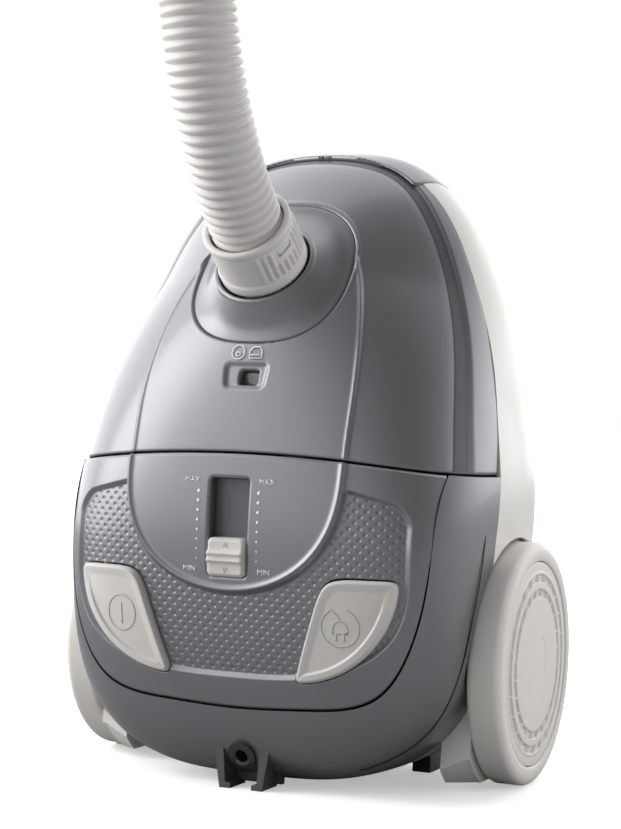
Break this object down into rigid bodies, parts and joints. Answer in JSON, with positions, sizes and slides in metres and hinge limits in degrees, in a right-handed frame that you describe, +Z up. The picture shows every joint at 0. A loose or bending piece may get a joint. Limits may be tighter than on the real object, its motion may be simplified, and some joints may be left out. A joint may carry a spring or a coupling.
{
  "type": "canister vacuum cleaner",
  "caption": "Bagged canister vacuum cleaner parked on its rear end, with an opening lid, foot pedals, power slider, side wheels, belly caster and a corrugated hose.",
  "frame": {"origin": "on the ground under the middle of the body, parked on its rear end", "axes": "+Z up from the rear end to the nose, X across the wheels, -Y the top cover side, +Y the belly"},
  "size_m": [0.682, 0.5336, 0.7142],
  "materials": {
    "cream_shell": "satin moulded",
    "grey_gloss": "glossy moulded",
    "dark_plastic": "matte moulded",
    "light_control": "satin moulded",
    "wheel_plastic": "satin moulded",
    "hose_plastic": "soft corrugated",
    "rubber": "soft matte",
    "steel": "bright steel",
    "laminations": "varnished windings",
    "impeller_metal": "pressed aluminium",
    "carbon": "graphite",
    "board": "laminate",
    "bag_paper": "nonwoven",
    "card": "pressed card",
    "filter_fleece": "pleated fleece",
    "clear_window": "clear"
  },
  "bodies": {
    "base": {"bag_collar": "card", "bag_holder": "dark_plastic", "base_shell": "cream_shell", "carbon_brushes": "carbon", "carrier_screws": "steel", "circuit_board": "board", "control_cover": "grey_gloss", "cord_outlet": "dark_plastic", "dust_bag": "bag_paper", "exhaust_filter": "filter_fleece", "exhaust_grille": "cream_shell", "inner_frame": "dark_plastic", "lid_gasket": "rubber", "motor_bearings": "steel", "motor_can": "dark_plastic", "motor_filter": "filter_fleece", "motor_mount": "rubber", "motor_seal": "rubber", "parking_bracket": "dark_plastic", "partition_wall": "dark_plastic", "pedal_carrier": "dark_plastic", "power_pedal_spring": "steel", "power_switch": "dark_plastic", "rear_feet": "dark_plastic", "rear_housing": "grey_gloss", "rewind_pedal_spring": "steel", "rewind_spring": "steel", "slide_potentiometer": "dark_plastic", "slider_track": "dark_plastic", "stator": "laminations", "wheel_axles": "steel"},
    "lid": {"lid_shell": "grey_gloss", "bag_seal": "rubber", "hose_spigot": "hose_plastic", "indicator_housing": "dark_plastic", "indicator_window": "clear_window", "indicator_spring": "steel", "latch_pin": "steel", "lid_hinge_pins": "steel", "hose_tube": "hose_plastic", "hand_grip": "hose_plastic"},
    "collar": {"hose_collar": "hose_plastic"},
    "latch": {"lid_latch": "dark_plastic"},
    "flag": {"indicator_flag": "dark_plastic"},
    "slider": {"slider_knob": "light_control"},
    "power_button": {"power_pedal": "light_control"},
    "rewind_button": {"rewind_pedal": "light_control"},
    "brake": {"brake_lever": "dark_plastic"},
    "motor": {"motor_shaft": "steel", "armature": "laminations", "fan_impeller": "impeller_metal"},
    "reel": {"cord_reel": "dark_plastic"},
    "left_wheel": {"wheel_left": "wheel_plastic", "hub_cap_left": "wheel_plastic"},
    "right_wheel": {"wheel_right": "wheel_plastic", "hub_cap_right": "wheel_plastic"},
    "fork": {"caster_fork": "dark_plastic", "caster_axle": "steel"},
    "caster": {"caster_wheel": "rubber"},
    "air": {"air_slider": "dark_plastic"}
  },
  "joints": [
    {"name": "lid_hinge", "type": "hinge", "parent": "base", "child": "lid", "pos_m": [0, -0.099, 0.2002], "axis": [1, 0, 0], "range_deg": [0, 60]},
    {"name": "collar_turn", "type": "hinge", "parent": "lid", "child": "collar", "pos_m": [0, -0.068, 0.314], "axis": [0, -0.7914, 0.6113], "range_deg": [0, 40]},
    {"name": "latch_pull", "type": "hinge", "parent": "lid", "child": "latch", "pos_m": [0, 0.005, 0.368], "axis": [-1, 0, 0], "range_deg": [0, 9], "stiffness_Nm_per_rad": 0.3},
    {"name": "bag_full_slide", "type": "slide", "parent": "lid", "child": "flag", "axis": [-1, 0, 0], "range_m": [0, 0.008], "stiffness_N_per_m": 30, "deforming": ["indicator_spring"]},
    {"name": "power_slider", "type": "slide", "parent": "base", "child": "slider", "axis": [0, 0, 1], "range_m": [0, 0.033]},
    {"name": "power_press", "type": "slide", "parent": "base", "child": "power_button", "axis": [0, 1, 0], "range_m": [0, 0.004], "stiffness_N_per_m": 1500, "deforming": ["power_pedal_spring"]},
    {"name": "rewind_press", "type": "slide", "parent": "base", "child": "rewind_button", "axis": [0, 1, 0], "range_m": [0, 0.004], "stiffness_N_per_m": 1500, "deforming": ["rewind_pedal_spring"]},
    {"name": "brake_swing", "type": "hinge", "parent": "base", "child": "brake", "pos_m": [0, -0.072, 0.105], "axis": [-1, 0, 0], "range_deg": [0, 14]},
    {"name": "motor_spin", "type": "hinge", "parent": "base", "child": "motor", "pos_m": [-0.028, 0, 0.1], "axis": [0, 0, 1], "continuous": true},
    {"name": "reel_spin", "type": "hinge", "parent": "base", "child": "reel", "pos_m": [0.075, 0, 0.098], "axis": [1, 0, 0], "continuous": true},
    {"name": "left_wheel_spin", "type": "hinge", "parent": "base", "child": "left_wheel", "pos_m": [-0.136, 0.034, 0.075], "axis": [1, 0, 0], "continuous": true},
    {"name": "right_wheel_spin", "type": "hinge", "parent": "base", "child": "right_wheel", "pos_m": [0.136, 0.034, 0.075], "axis": [1, 0, 0], "continuous": true},
    {"name": "caster_swivel", "type": "hinge", "parent": "base", "child": "fork", "pos_m": [0, 0.066, 0.325], "axis": [0, 1, 0], "continuous": true},
    {"name": "caster_roll", "type": "hinge", "parent": "fork", "child": "caster", "pos_m": [0, 0.094, 0.313], "axis": [1, 0, 0], "continuous": true},
    {"name": "air_slide", "type": "slide", "parent": "lid", "child": "air", "axis": [-0.0759, 0.9971, -0.0054], "range_m": [0, 0.014]}
  ],
  "couplings": [
    {"joint": "brake_swing", "follows": "rewind_press", "rad_per_m": 58.905}
  ]
}
